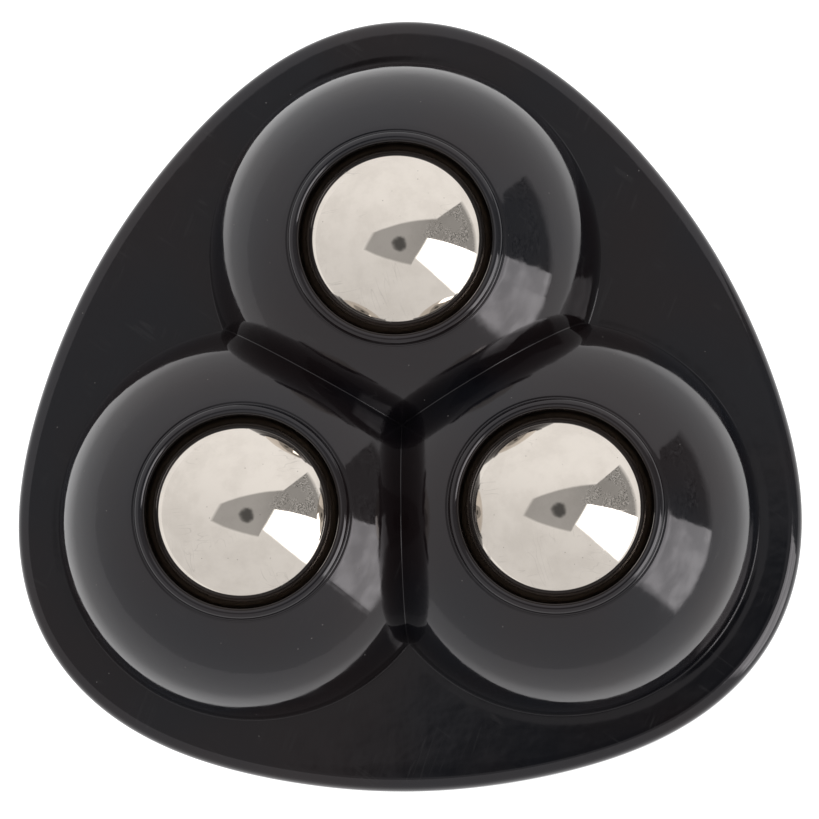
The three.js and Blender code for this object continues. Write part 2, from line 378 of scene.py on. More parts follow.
def remap(tree, value, low, high, start=0.0, end=1.0):
    """Maps low..high onto start..end, smoothly and without overshoot."""
    made = add_node(tree, "ShaderNodeMapRange", {"interpolation_type": "SMOOTHSTEP"},
                    Value=value, From_Min=low, From_Max=high, To_Min=start, To_Max=end)
    return made.outputs["Result"]


def calculate(tree, operation, first, second=0.0):
    return add_node(tree, "ShaderNodeMath", {"operation": operation}, _0=first, _1=second).outputs[0]


def blend(tree, share, first, second):
    """Mixes two colours, given as values or sockets, by a share."""
    mix = tree.nodes.new("ShaderNodeMix")
    mix.data_type = "RGBA"
    for index, value in ((0, share), (6, first), (7, second)):
        if isinstance(value, bpy.types.NodeSocket):
            tree.links.new(value, mix.inputs[index])
        else:
            mix.inputs[index].default_value = (*value, 1) if isinstance(value, tuple) else value
    return mix.outputs[2]


def hairlines(tree, scale, turn, density):
    """Long thin scratches along one direction, broken up into patches; scale is per millimetre.

    They fade out where the surface faces along them, where they would show as curls.
    """
    line = noise(tree, place_on_object(tree, (scale * 0.03, scale, scale), turn), 1.0, 1.0)
    patch = noise(tree, place_on_object(tree, (0.35, 0.35, 0.35), turn), 1.0, 1.0)
    off_line = calculate(tree, "ABSOLUTE", calculate(tree, "SUBTRACT", line, 0.5))
    thin = remap(tree, off_line, 0.0, 0.02, 1.0, 0.0)
    facing = add_node(tree, "ShaderNodeTexCoord").outputs["Normal"]
    facing = add_node(tree, "ShaderNodeMapping", {"vector_type": "VECTOR"}, Vector=facing,
                      Rotation=[math.radians(angle) for angle in turn]).outputs[0]
    along = add_node(tree, "ShaderNodeSeparateXYZ", Vector=facing).outputs["X"]
    end_on = calculate(tree, "ABSOLUTE", along)
    thin = calculate(tree, "MULTIPLY", thin, remap(tree, end_on, 0.25, 0.5, 1.0, 0.0))
    return calculate(tree, "MULTIPLY", thin, remap(tree, patch, 0.62 - density, 0.7 - density))


def specks(tree, scale, size, share):
    """Small round dots in a share of random cells; scale is cells a millimetre."""
    cells = add_node(tree, "ShaderNodeTexVoronoi", Vector=place_on_object(tree), Scale=scale)
    dot = remap(tree, cells.outputs["Distance"], size * 0.6, size, 1.0, 0.0)
    lot = add_node(tree, "ShaderNodeSeparateColor", Color=cells.outputs["Color"]).outputs[0]
    chosen = remap(tree, lot, 1 - share, 1 - share + 0.001)
    return calculate(tree, "MULTIPLY", dot, chosen)


def bump(tree, shader, height, distance, strength=1.0):
    """Adds a height, in millimetres of relief at its full value, on top of any bump there already is."""
    made = add_node(tree, "ShaderNodeBump", Height=height, Distance=distance * MM, Strength=strength)
    if shader.inputs["Normal"].links:
        tree.links.new(shader.inputs["Normal"].links[0].from_socket, made.inputs["Normal"])
    tree.links.new(made.outputs[0], shader.inputs["Normal"])


def feed(tree, value, socket):
    tree.links.new(value, socket)


def gloss_plastic():
    """Black moulded plastic: tinted patches, orange peel, scratches, rub rings, dust, and grime in the
    pockets with a painted brown reflection of the ball.
    """
    material, tree, shader = new_material("gloss_plastic", (0.004, 0.004, 0.0045), 0.07)
    tint = clouds(tree, 0.09, 1.0)
    colour = blend(tree, remap(tree, tint, 0.35, 0.65), (0.0062, 0.0040, 0.0044), (0.0034, 0.0042, 0.0062))
    lines = calculate(tree, "MAXIMUM", hairlines(tree, 1.2, (0, 0, 35), 0.04),
                      hairlines(tree, 1.4, (0, 0, 112), 0.04))
    rub = add_node(tree, "ShaderNodeAttribute", {"attribute_name": "rub"}).outputs["Vector"]
    rings = noise(tree, rub, 1.0, 3.0, 0.7)
    rubbed = remap(tree, rings, 0.5, 0.72)
    dust = specks(tree, 1.1, 0.07, 0.16)
    colour = blend(tree, calculate(tree, "MULTIPLY", lines, 0.12), colour, (0.05, 0.05, 0.05))
    colour = blend(tree, calculate(tree, "MULTIPLY", dust, 0.5), colour, (0.16, 0.15, 0.14))
    # Painted reflection: the pockets are painted warm brown for the ball mirrored in the black wall, and made
    # rougher as grime.
    grime_and_ball_glow = add_node(tree, "ShaderNodeAttribute", {"attribute_name": "grime_and_ball_glow"}).outputs["Fac"]
    colour = blend(tree, grime_and_ball_glow, colour, (0.055, 0.043, 0.034))
    feed(tree, colour, shader.inputs["Base Color"])
    haze = clouds(tree, 0.5, 4.0)
    rough = calculate(tree, "ADD", remap(tree, haze, 0.35, 0.7, 0.05, 0.11),
                      calculate(tree, "MULTIPLY", rubbed, 0.05))
    rough = calculate(tree, "ADD", rough, calculate(tree, "MULTIPLY", lines, 0.08))
    rough = calculate(tree, "ADD", rough, calculate(tree, "MULTIPLY", grime_and_ball_glow, 0.35))
    feed(tree, calculate(tree, "MAXIMUM", rough, calculate(tree, "MULTIPLY", dust, 0.7)),
         shader.inputs["Roughness"])
    shader.inputs["Specular Tint"].default_value = (1.0, 0.95, 0.98, 1)
    bump(tree, shader, clouds(tree, 0.55), 0.012)
    bump(tree, shader, rings, 0.0015)
    return material


def ball_steel():
    """Polished bearing steel with hairlines, small pits and faint smears."""
    material, tree, shader = new_material("ball_steel", (0.70, 0.66, 0.60), 0.03, 1.0)
    smear = clouds(tree, 0.5, 4.0, 0.6)
    colour = blend(tree, remap(tree, smear, 0.35, 0.7), (0.71, 0.655, 0.595), (0.65, 0.597, 0.54))
    lines = hairlines(tree, 1.6, (20, 35, 10), 0.07)
    for turn in ((-40, 10, 75), (65, -25, 140), (15, 80, 205)):
        lines = calculate(tree, "MAXIMUM", lines, hairlines(tree, 1.6, turn, 0.07))
    pits = specks(tree, 1.6, 0.09, 0.35)
    colour = blend(tree, calculate(tree, "MULTIPLY", lines, 0.22), colour, (0.30, 0.28, 0.26))
    colour = blend(tree, calculate(tree, "MULTIPLY", pits, 0.55), colour, (0.22, 0.20, 0.18))
    feed(tree, colour, shader.inputs["Base Color"])
    rough = calculate(tree, "ADD", remap(tree, smear, 0.35, 0.7, 0.02, 0.06),
                      calculate(tree, "MULTIPLY", lines, 0.12))
    feed(tree, rough, shader.inputs["Roughness"])
    bump(tree, shader, clouds(tree, 0.9), 0.0015)
    return material


def bearing_steel():
    """Ground bearing balls, a little less bright than the load balls, with an oil film."""
    material, tree, shader = new_material("bearing_steel", (0.6, 0.59, 0.57), 0.08, 1.0)
    film = clouds(tree, 1.5, 3.0)
    feed(tree, blend(tree, remap(tree, film, 0.4, 0.65), (0.62, 0.61, 0.59), (0.50, 0.47, 0.41)),
         shader.inputs["Base Color"])
    feed(tree, remap(tree, film, 0.3, 0.7, 0.05, 0.16), shader.inputs["Roughness"])
    bump(tree, shader, clouds(tree, 12), 0.0006)
    return material


def plated_steel(name, colour, worn):
    """Pressed or cut steel with a zinc finish: blotched colour and fine drawn marks."""
    material, tree, shader = new_material(name, colour, 0.3, 1.0)
    blotch = clouds(tree, 0.9, 5.0, 0.65)
    feed(tree, blend(tree, remap(tree, blotch, 0.35, 0.68), colour, worn), shader.inputs["Base Color"])
    marks = noise(tree, place_on_object(tree, (0.6, 0.6, 14.0)), 1.0, 2.0)
    feed(tree, remap(tree, marks, 0.3, 0.7, 0.22, 0.42), shader.inputs["Roughness"])
    bump(tree, shader, marks, 0.004)
    return material


def sleeve_plastic():
    """Natural acetal: waxy off-white with faint flow clouds."""
    material, tree, shader = new_material("sleeve_plastic", (0.78, 0.75, 0.68), 0.4)
    cloud = noise(tree, place_on_object(tree, (0.4, 0.4, 0.8)), 1.0, 3.0)
    feed(tree, blend(tree, remap(tree, cloud, 0.35, 0.65), (0.80, 0.77, 0.70), (0.74, 0.70, 0.62)),
         shader.inputs["Base Color"])
    feed(tree, remap(tree, cloud, 0.3, 0.7, 0.34, 0.48), shader.inputs["Roughness"])
    shader.inputs["Subsurface Weight"].default_value = 0.15
    shader.inputs["Subsurface Scale"].default_value = 0.0008
    bump(tree, shader, clouds(tree, 7), 0.004)
    return material


def base_plastic():
    """Matt black moulded plastic with a spark-eroded grain."""
    material, tree, shader = new_material("base_plastic", (0.018, 0.018, 0.020), 0.5)
    grain = clouds(tree, 6, 3.0, 0.6)
    cloud = clouds(tree, 0.15, 3.0)
    feed(tree, blend(tree, remap(tree, cloud, 0.35, 0.65), (0.017, 0.017, 0.019), (0.023, 0.022, 0.024)),
         shader.inputs["Base Color"])
    feed(tree, remap(tree, grain, 0.35, 0.65, 0.42, 0.6), shader.inputs["Roughness"])
    bump(tree, shader, grain, 0.02)
    return material


def pad_foam():
    """Closed-cell acrylic foam: small pale cells with darker walls."""
    material, tree, shader = new_material("pad_foam", (0.70, 0.69, 0.66), 0.85)
    cells = add_node(tree, "ShaderNodeTexVoronoi", {"feature": "DISTANCE_TO_EDGE"},
                     Vector=place_on_object(tree), Scale=5.0).outputs["Distance"]
    wall = remap(tree, cells, 0.0, 0.12, 1.0, 0.0)
    feed(tree, blend(tree, wall, (0.72, 0.71, 0.68), (0.52, 0.51, 0.48)), shader.inputs["Base Color"])
    bump(tree, shader, remap(tree, cells, 0.0, 0.3), 0.05)
    return material


def liner_paper():
    """Brown glassine release paper: pulp clouds, short fibres and a waxy sheen."""
    material, tree, shader = new_material("liner_paper", (0.50, 0.30, 0.13), 0.45)
    pulp = clouds(tree, 0.35, 5.0, 0.6)
    colour = blend(tree, remap(tree, pulp, 0.35, 0.65), (0.55, 0.33, 0.15), (0.43, 0.25, 0.11))
    fibres = calculate(tree, "MAXIMUM", hairlines(tree, 4.0, (0, 0, 25), 0.12),
                       hairlines(tree, 4.0, (0, 0, 100), 0.12))
    feed(tree, blend(tree, calculate(tree, "MULTIPLY", fibres, 0.4), colour, (0.66, 0.47, 0.27)),
         shader.inputs["Base Color"])
    feed(tree, remap(tree, pulp, 0.3, 0.7, 0.36, 0.55), shader.inputs["Roughness"])
    shader.inputs["Coat Weight"].default_value = 0.25
    shader.inputs["Coat Roughness"].default_value = 0.3
    bump(tree, shader, clouds(tree, 3, 3.0), 0.01)
    return material


# ---- Cover ----

HALF_SPACING = STATION_RADIUS * sin(60)
CREASE_ARC_RADIUS = math.sqrt(DOME_RADIUS ** 2 - HALF_SPACING ** 2)
CREASE_START = 150 - math.degrees(math.atan2(CREASE_ARC_RADIUS, HALF_SPACING))
BEAD_RADIUS = (LIP_OUTER_RADIUS - LIP_BORE_RADIUS) / 2
GROOVE_END = LIP_OUTER_RADIUS + 0.26
GROOVE_DEPTH = 0.1
# Shares of the way out across the lip's groove, and of its depth there
GROOVE_SECTION = ((0.08, 0.6), (0.2, 0.92), (0.35, 1.0), (0.55, 0.78), (0.78, 0.35), (0.92, 0.09))
PLUG_Z = 13.0
SINK_DEPTH = 0.07
SINK_WIDTH = 0.8
SINK_HEIGHT = 2
SINK_SPREAD = 60
SINK_SHARE = 0.3
RUB_RINGS = 1.6
RUB_BREAKS = 1.2
POCKET_SKIN = 0.06

# How fine the cover's mesh is
SECTION_STEPS = 360
TANGENT_STRIDE = 4
POCKET_STEPS = 7
BEAD_STEPS = 28
OPEN_STEPS = 72
CREASE_STEPS = 60
TOP_EDGE_STEPS = 12
BOTTOM_EDGE_STEPS = 8
HOLLOW_STEPS = 16
# The width of the fine rows along an edge, their number, and the number of coarse ones after them
DOME_EDGE_ROWS = (0.5, 9, 30)
FLANGE_EDGE_ROWS = (0.9, 14, 7)


def dome_section(radius):
    """Tilts from 0 to 90 degrees and, at each, the radius and the height above the foot of a dome.

    The radius grows as a power of the tilt's sine: a power of 1 is a sphere, a lower one has a
    flatter top and a steeper foot.
    """
    tilts = np.linspace(0, math.pi / 2, SECTION_STEPS + 1)
    rise = np.sin(tilts) ** DOME_POWER
    steps = (rise[1:] + rise[:-1]) / 2 * np.diff(tilts)
    heights = DOME_POWER * np.concatenate([np.cumsum(steps[::-1])[::-1], [0]])
    return tilts, radius * rise, radius * heights


DOME_TILTS, DOME_RADII, DOME_HEIGHTS = dome_section(DOME_RADIUS)


def dome_height(radius):
    """Height of a dome's outside at a radius from its station's axis."""
    return FLANGE_TOP_Z + np.interp(radius, DOME_RADII, DOME_HEIGHTS)


def dome_distance(radius, height):
    """Signed distance to a dome, as the furthest of its tangents, from radius and height arrays."""
    distance = np.full(len(radius), -np.inf)
    tangents = zip(DOME_TILTS, DOME_RADII, DOME_HEIGHTS)
    for tilt, r, z in list(tangents)[::TANGENT_STRIDE]:
        distance = np.maximum(distance, (radius - r) * math.sin(tilt) + (height - z) * math.cos(tilt))
    return distance


def lip_profile():
    """From the plug in the bore, over the half-round lip and through the groove that sets it off."""
    pocket_start = math.degrees(math.asin((PLUG_Z - BALL_CENTRE_Z) / POCKET_RADIUS))
    pocket_end = math.degrees(math.acos(LIP_BORE_RADIUS / POCKET_RADIUS))
    points = arc(0, BALL_CENTRE_Z, POCKET_RADIUS, pocket_start, pocket_end, POCKET_STEPS)
    points += arc(LIP_BORE_RADIUS + BEAD_RADIUS, LIP_CREST_Z - BEAD_RADIUS, BEAD_RADIUS, 180, 0, BEAD_STEPS)
    width = GROOVE_END - LIP_OUTER_RADIUS
    for share, depth in GROOVE_SECTION:
        radius = LIP_OUTER_RADIUS + share * width
        points.append((radius, dome_height(radius) - depth * GROOVE_DEPTH))
    return points


def surface_distances(points):
    """Signed distances of points to the flange top and to each dome."""
    distances = [points[:, 2] - FLANGE_TOP_Z]
    for angle in STATION_ANGLES:
        away = points - station_centre(angle, FLANGE_TOP_Z)
        distances.append(dome_distance(np.linalg.norm(away[:, :2], axis=1), away[:, 2]))
    return np.stack(distances)


def fillet_field(points):
    """Signed distance to the domes and flange top, with every inner corner filled to FILLET."""
    distances = surface_distances(points)
    inside = np.maximum(FILLET - distances, 0)
    return np.maximum(distances.min(0), FILLET) - np.sqrt((inside ** 2).sum(0))


def settle(points, rounds=8, step=1e-4):
    """Moves points near the inner corners out onto the filleted surface."""
    near = (surface_distances(points) < 2 * FILLET).sum(0) > 1
    moving = points[near]
    for _ in range(rounds):
        value = fillet_field(moving)
        slope = np.stack([
            (fillet_field(moving + step * axis) - fillet_field(moving - step * axis)) / (2 * step)
            for axis in np.eye(3)
        ], 1)
        moving = moving - slope * (value / np.maximum((slope ** 2).sum(1), 0.05))[:, None]
    points = points.copy()
    points[near] = moving
    return points


def sink(points, station_angle):
    """Lowers the foot of a dome, most on its outward side, as thick mouldings draw in there."""
    away = points[:, :2] - station_centre(station_angle)[:2]
    turn = np.degrees(np.arctan2(away[:, 1], away[:, 0])) - station_angle
    turn = (turn + 180) % 360 - 180
    across = np.clip(1 - np.abs(turn) / SINK_SPREAD, 0, 1)
    near = np.clip(1 - np.abs(np.linalg.norm(away, axis=1) - DOME_RADIUS) / SINK_WIDTH, 0, 1)
    low = np.clip(1 - (points[:, 2] - FLANGE_TOP_Z) / SINK_HEIGHT, 0, 1)
    around = SINK_SHARE + (1 - SINK_SHARE) * across ** 2 * (3 - 2 * across)
    amount = around * near ** 2 * (3 - 2 * near) * low
    return points - np.outer(SINK_DEPTH * amount, (0, 0, 1))


def sector_angles():
    """Directions round a station, from -180 to 180 degrees off straight outwards, in radians.

    Up to CREASE_START they are even; past it they step evenly along the crease with the next dome.
    Also returns how many there are along one crease.
    """
    open_side = np.linspace(0, CREASE_START, OPEN_STEPS + 1)
    inner_end = math.degrees(math.acos(-STATION_RADIUS * cos(60) / CREASE_ARC_RADIUS))
    along = np.radians(np.linspace(0, inner_end, CREASE_STEPS + 1))[1:]
    crease_side = 150 - np.degrees(np.arctan2(CREASE_ARC_RADIUS * np.cos(along), HALF_SPACING))
    half = np.concatenate([open_side, crease_side])
    return np.radians(np.concatenate([-half[:0:-1], half])), len(crease_side)


def distances_from_edge(lengths, close, fine, coarse):
    """Rows of distances from an edge, packed towards it: fine rows up to close, then coarse ones."""
    rows = [np.full(len(lengths), close * (i / fine) ** 2) for i in range(fine + 1)]
    rows += [close + (lengths - close) * i / coarse for i in range(1, coarse + 1)]
    return rows


def around_station(station_angle, turns, radius, height):
    """Points at radii and heights round a station, at turns off its outward direction."""
    centre = station_centre(station_angle)
    facing = math.radians(station_angle)
    return np.stack([
        centre[0] + radius * np.cos(turns + facing),
        centre[1] + radius * np.sin(turns + facing),
        np.broadcast_to(height, len(turns)),
    ], 1)


def dome_rows(station_angle, turns):
    """Rows of points down a dome, from the lip's groove to the foot or to a crease."""
    cosine = np.cos(np.abs(turns) - math.radians(150))
    reach = np.where(np.abs(turns) > math.radians(CREASE_START) - 1e-9,
                     HALF_SPACING / np.maximum(cosine, 0.1), DOME_RADIUS)
    end = np.interp(reach, DOME_RADII, DOME_TILTS)
    start = np.interp(GROOVE_END, DOME_RADII, DOME_TILTS)
    rows = []
    for distance in reversed(distances_from_edge(DOME_RADIUS * (end - start), *DOME_EDGE_ROWS)):
        tilt = end - distance / DOME_RADIUS
        rows.append(around_station(station_angle, turns, np.interp(tilt, DOME_TILTS, DOME_RADII),
                                   FLANGE_TOP_Z + np.interp(tilt, DOME_TILTS, DOME_HEIGHTS)))
    return rows


def flange_rows(station_angle, foot):
    """Rows from a dome's foot over the flange to its edge round, and the angles where they end."""
    polar = np.linspace(-60, 60, len(foot)) + station_angle
    own = np.degrees(np.unwrap(np.arctan2(foot[:, 1], foot[:, 0])))
    own += 360 * np.round((station_angle - own.mean()) / 360)
    angles = np.radians((polar + own) / 2)
    reach = outline(angles, EDGE_ROUND) - foot[:, :2]
    lengths = np.linalg.norm(reach, axis=1)
    rows = [
        np.column_stack([foot[:, :2] + reach * (distance / lengths)[:, None],
                         np.full(len(foot), FLANGE_TOP_Z)])
        for distance in distances_from_edge(lengths, *FLANGE_EDGE_ROWS)
    ]
    return rows, angles


def side_rows(angles):
    """Rows over the rounds at the top and the bottom of the flange's edge."""
    rows = []
    for tilt in np.linspace(0, 90, TOP_EDGE_STEPS + 1)[1:]:
        height = FLANGE_TOP_Z - EDGE_ROUND * (1 - cos(tilt))
        rows.append(outline_row(angles, EDGE_ROUND * (1 - sin(tilt)), height))
    for tilt in np.linspace(0, 90, BOTTOM_EDGE_STEPS + 1):
        height = BACK_Z + EDGE_ROUND * (1 - sin(tilt))
        rows.append(outline_row(angles, EDGE_ROUND * (1 - cos(tilt)), height))
    return rows


def cover_sector(station_angle):
    """Points and faces of a third of the cover's outside, and the sizes of its first and last rows."""
    turns, crease_count = sector_angles()
    count = len(turns)
    lip = [around_station(station_angle, turns, radius, height) for radius, height in lip_profile()]
    dome = dome_rows(station_angle, turns)
    flange, angles = flange_rows(station_angle, dome[-1][crease_count:count - crease_count])
    side = side_rows(angles)
    inner = np.concatenate([*lip, sink(settle(np.concatenate(dome)), station_angle)])
    outer = np.concatenate([sink(settle(np.concatenate(flange)), station_angle), *side])
    faces = grid_faces(len(lip) + len(dome), count, True)
    faces += shifted(grid_faces(len(flange) + len(side), len(angles), False), len(inner))
    return np.concatenate([inner, outer]), faces, count, len(angles)


def cover_outside():
    """The whole outside as one closed mesh: three sectors, plugs in the bores and a flat back."""
    points, faces, rim = [], [], []
    offset = 0
    for angle in STATION_ANGLES:
        sector_points, sector_faces, plug, edge = cover_sector(angle)
        points.append(sector_points)
        faces += shifted(sector_faces, offset)
        faces.append(tuple(range(offset, offset + plug)))
        offset += len(sector_points)
        rim += range(offset - edge, offset)
    points = np.concatenate(points)
    seen, back = set(), []
    for k in sorted(rim, key=lambda i: math.atan2(points[i][1], points[i][0])):
        key = tuple(np.round(points[k], 5))
        if key not in seen:
            seen.add(key)
            back.append(k)
    faces.append(tuple(back))
    return points, faces


def cover_core():
    """What is empty inside the cover: the plate's seat, the joined dome hollows and the pilot bores."""
    hollow_radius = DOME_RADIUS - DOME_WALL
    floor = FLANGE_UNDERSIDE_Z - PAST / 2
    _, radii, heights = dome_section(hollow_radius)
    profile = [(0, floor), (hollow_radius, floor)]
    shares = np.linspace(0, 1, HOLLOW_STEPS + 1)
    for radius in hollow_radius - (hollow_radius - HOLLOW_TOP_RADIUS) * shares ** 2:
        profile.append((radius, FLANGE_TOP_Z + np.interp(radius, radii, heights)))
    profile.append((0, profile[-1][1]))
    hollows = [
        solid("hollow", *turned(profile, CUP_STEPS, station_centre(angle)))
        for angle in STATION_ANGLES
    ]
    chamber = combine(hollows[0], hollows[1:], "UNION")
    chamber = combine(chamber, [
        post("boss", BOSS_RADIUS, FLANGE_UNDERSIDE_Z, BOSS_TOP_Z, screw_centre(angle))
        for angle in SCREW_ANGLES
    ], "DIFFERENCE")
    seat = plate("seat", [(SKIRT_WALL, BACK_Z - PAST), (SKIRT_WALL, FLANGE_UNDERSIDE_Z)])
    pilots = [
        post("pilot", PILOT_RADIUS, FLANGE_UNDERSIDE_Z - PAST, PILOT_TOP_Z, screw_centre(angle))
        for angle in SCREW_ANGLES
    ]
    return combine(seat, [chamber, *pilots], "UNION")


def mark_rub(piece):
    """Stores, at each point, where rub marks run and where the grime and the painted reflection of the ball
    sit.

    Rub marks are rings round the nearest ball, with none on the flange; the grime and the painted brown
    reflection of the ball are in the pockets.
    """
    count = len(piece.data.vertices)
    points = np.empty(count * 3)
    piece.data.vertices.foreach_get("co", points)
    points = points.reshape(-1, 3) / MM
    away = np.stack([points - station_centre(angle) for angle in STATION_ANGLES])
    nearest = np.linalg.norm(away[:, :, :2], axis=2).argmin(0)
    away = away[nearest, np.arange(count)]
    turn = np.arctan2(away[:, 1], away[:, 0])
    rings = RUB_RINGS * np.linalg.norm(away[:, :2], axis=1)
    rub = np.stack([rings, RUB_BREAKS * np.cos(turn), RUB_BREAKS * np.sin(turn)], 1)
    rub[points[:, 2] < FLANGE_TOP_Z + FILLET] = 0
    attribute = piece.data.attributes.new("rub", "FLOAT_VECTOR", "POINT")
    attribute.data.foreach_set("vector", rub.ravel())
    # The pocket band is grime, and its brown colour is a painted reflection of the ball.
    reach = np.linalg.norm(away - (0, 0, BALL_CENTRE_Z), axis=1)
    pocket = (np.abs(reach - POCKET_RADIUS) < POCKET_SKIN) & (points[:, 2] > PLUG_Z - PAST)
    attribute = piece.data.attributes.new("grime_and_ball_glow", "FLOAT", "POINT")
    attribute.data.foreach_set("value", pocket.astype(float))


def make_cover(material):
    cover = solid("cover_shell_look", *cover_outside())
    combine(cover, [cover_core()], "DIFFERENCE")
    mark_rub(cover)
    finish_piece(cover, material, "root", "cover_shell")


# ---- Balls and their races ----

LOAD_BALL_CUTS = 40
BEARING_BALL_CUTS = 10


def cube_sphere(radius, centre, cuts):
    """Points and faces of a sphere made from a cube's six grids, evenly spaced by angle."""
    steps = np.tan(np.linspace(-math.pi / 4, math.pi / 4, cuts + 1))
    points, faces = [], []
    for axis in range(3):
        for sign in (-1, 1):
            u, v = np.meshgrid(steps, steps, indexing="ij")
            side = np.stack([u, v, np.full_like(u, sign)], -1).reshape(-1, 3)
            side = np.roll(side, axis, axis=1)
            side = side / np.linalg.norm(side, axis=1, keepdims=True) * radius + np.asarray(centre)
            offset = len(points) * len(side)
            points.append(side)
            faces += shifted(grid_faces(cuts + 1, cuts + 1, False), offset)
    return np.concatenate(points), faces


def make_load_balls(material):
    for number, angle in enumerate(STATION_ANGLES, 1):
        centre = station_centre(angle, BALL_CENTRE_Z)
        sphere = cube_sphere(BALL_RADIUS, centre, LOAD_BALL_CUTS)
        ball = solid(f"load_ball_{number}_look", *sphere)
        finish_piece(ball, material, f"ball_{number}", f"load_ball_{number}")


def make_bearing_balls(material):
    for number, angle in enumerate(STATION_ANGLES, 1):
        for index in range(BEARING_COUNT):
            ring = index * 360 / BEARING_COUNT
            centre = station_centre(angle, BEARING_Z)
            centre += np.array([BEARING_OFFSET * cos(ring), BEARING_OFFSET * sin(ring), 0])
            name = f"bearing_ball_{number}_{index + 1:02d}"
            ball = solid(name + "_look", *cube_sphere(BEARING_RADIUS, centre, BEARING_BALL_CUTS))
            finish_piece(ball, material, f"bearing_train_{number}", name)


def cup_profile():
    """The pressed pan's section: a flat floor, a round groove for the balls and an eased rim."""
    inner = BEARING_OFFSET + GROOVE_RADIUS
    rim = CUP_WALL / 2
    share = (BEARING_Z - CUP_FLOOR_Z) / GROOVE_RADIUS
    groove_start = -math.degrees(math.acos(-math.sqrt(1 - share ** 2)))
    profile = [(0, CUP_BOTTOM_Z)]
    profile += arc(BEARING_OFFSET, BEARING_Z, GROOVE_RADIUS + CUP_WALL, -90, 0, 14)
    profile += arc((CUP_OUTER_RADIUS + inner) / 2, CUP_TOP_Z - rim, rim, 0, 180, 10)
    profile += arc(BEARING_OFFSET, BEARING_Z, GROOVE_RADIUS, 0, groove_start, 18)
    profile.append((0, CUP_FLOOR_Z))
    return profile


def make_cups(material):
    for number, angle in enumerate(STATION_ANGLES, 1):
        cup = solid(f"race_cup_{number}_look", *turned(cup_profile(), CUP_STEPS, station_centre(angle)))
        finish_piece(cup, material, "root", f"race_cup_{number}")


def make_retainers(material):
    inner, outer, bevel = SLEEVE_BORE_RADIUS, SLEEVE_OUTER_RADIUS, SLEEVE_BEVEL
    profile = [(inner, SLEEVE_BOTTOM_Z + bevel), (inner + bevel, SLEEVE_BOTTOM_Z)]
    profile += [(outer - bevel, SLEEVE_BOTTOM_Z), (outer, SLEEVE_BOTTOM_Z + bevel)]
    profile += arc(outer - SLEEVE_EDGE, SLEEVE_TOP_Z - SLEEVE_EDGE, SLEEVE_EDGE, 0, 90, 6)
    profile += arc(inner + bevel, SLEEVE_TOP_Z - bevel, bevel, 90, 180, 4)
    profile.append(profile[0])
    for number, angle in enumerate(STATION_ANGLES, 1):
        sleeve = solid(f"ball_retainer_{number}_look", *turned(profile, SLEEVE_STEPS, station_centre(angle)))
        finish_piece(sleeve, material, "root", f"ball_retainer_{number}")


# ---- Screws and back ----

SCREW_HEAD_Z = BACK_Z + 0.1
THREAD_START_Z = SCREW_HEAD_Z + SCREW_HEAD_HEIGHT + 0.4
THREAD_END_Z = THREAD_START_Z + SCREW_THREADS * SCREW_PITCH
THREAD_SHARPNESS = 3.2
ROWS_PER_THREAD = 10
HEAD_BEVEL_WIDTH = 0.12
HEAD_BEVEL_HEIGHT = 0.08
RECESS_LENGTH = 2.0
RECESS_WIDTH = 0.5
RECESS_DEPTH = 0.5


def screw_mesh(centre):
    """Points and faces of a countersunk screw with a real helical thread, point up."""
    head = [
        (0, SCREW_HEAD_Z), (SCREW_HEAD_RADIUS - HEAD_BEVEL_WIDTH, SCREW_HEAD_Z),
        (SCREW_HEAD_RADIUS, SCREW_HEAD_Z + HEAD_BEVEL_HEIGHT),
        (SCREW_CREST_RADIUS, SCREW_HEAD_Z + SCREW_HEAD_HEIGHT), (SCREW_ROOT_RADIUS, THREAD_START_Z),
    ]
    rows = [(np.full(SCREW_STEPS, radius), height) for radius, height in head]
    turns = full_turn(SCREW_STEPS)
    steps = SCREW_THREADS * ROWS_PER_THREAD
    for i in range(1, steps + 1):
        height = THREAD_START_Z + (THREAD_END_Z - THREAD_START_Z) * i / steps
        phase = (height - THREAD_START_Z) / SCREW_PITCH - turns / (2 * math.pi)
        tooth = np.clip(1 - np.abs((phase % 1) - 0.5) * THREAD_SHARPNESS, 0, 1)
        taper = min(1, (THREAD_END_Z - height) / SCREW_PITCH, (height - THREAD_START_Z) / (SCREW_PITCH / 2))
        rows.append((SCREW_ROOT_RADIUS + (SCREW_CREST_RADIUS - SCREW_ROOT_RADIUS) * tooth * taper, height))
    rows.append((np.full(SCREW_STEPS, 0.0), THREAD_END_Z + SCREW_ROOT_RADIUS))
    points = np.concatenate([
        np.column_stack([centre[0] + radius * np.cos(turns), centre[1] + radius * np.sin(turns),
                         np.full(SCREW_STEPS, height)])
        for radius, height in rows
    ])
    return points, grid_faces(len(rows), SCREW_STEPS, True)


def make_screws(material):
    slots = [(RECESS_LENGTH, RECESS_WIDTH, 2 * RECESS_DEPTH), (RECESS_WIDTH, RECESS_LENGTH, 2 * RECESS_DEPTH)]
    for number, angle in enumerate(SCREW_ANGLES, 1):
        centre = screw_centre(angle, SCREW_HEAD_Z)
        screw = solid(f"cover_screw_{number}_look", *screw_mesh(centre))
        combine(screw, [slab("recess", size, centre) for size in slots], "DIFFERENCE")
        finish_piece(screw, material, "root", f"cover_screw_{number}", SCREW_SMOOTH_ANGLE)


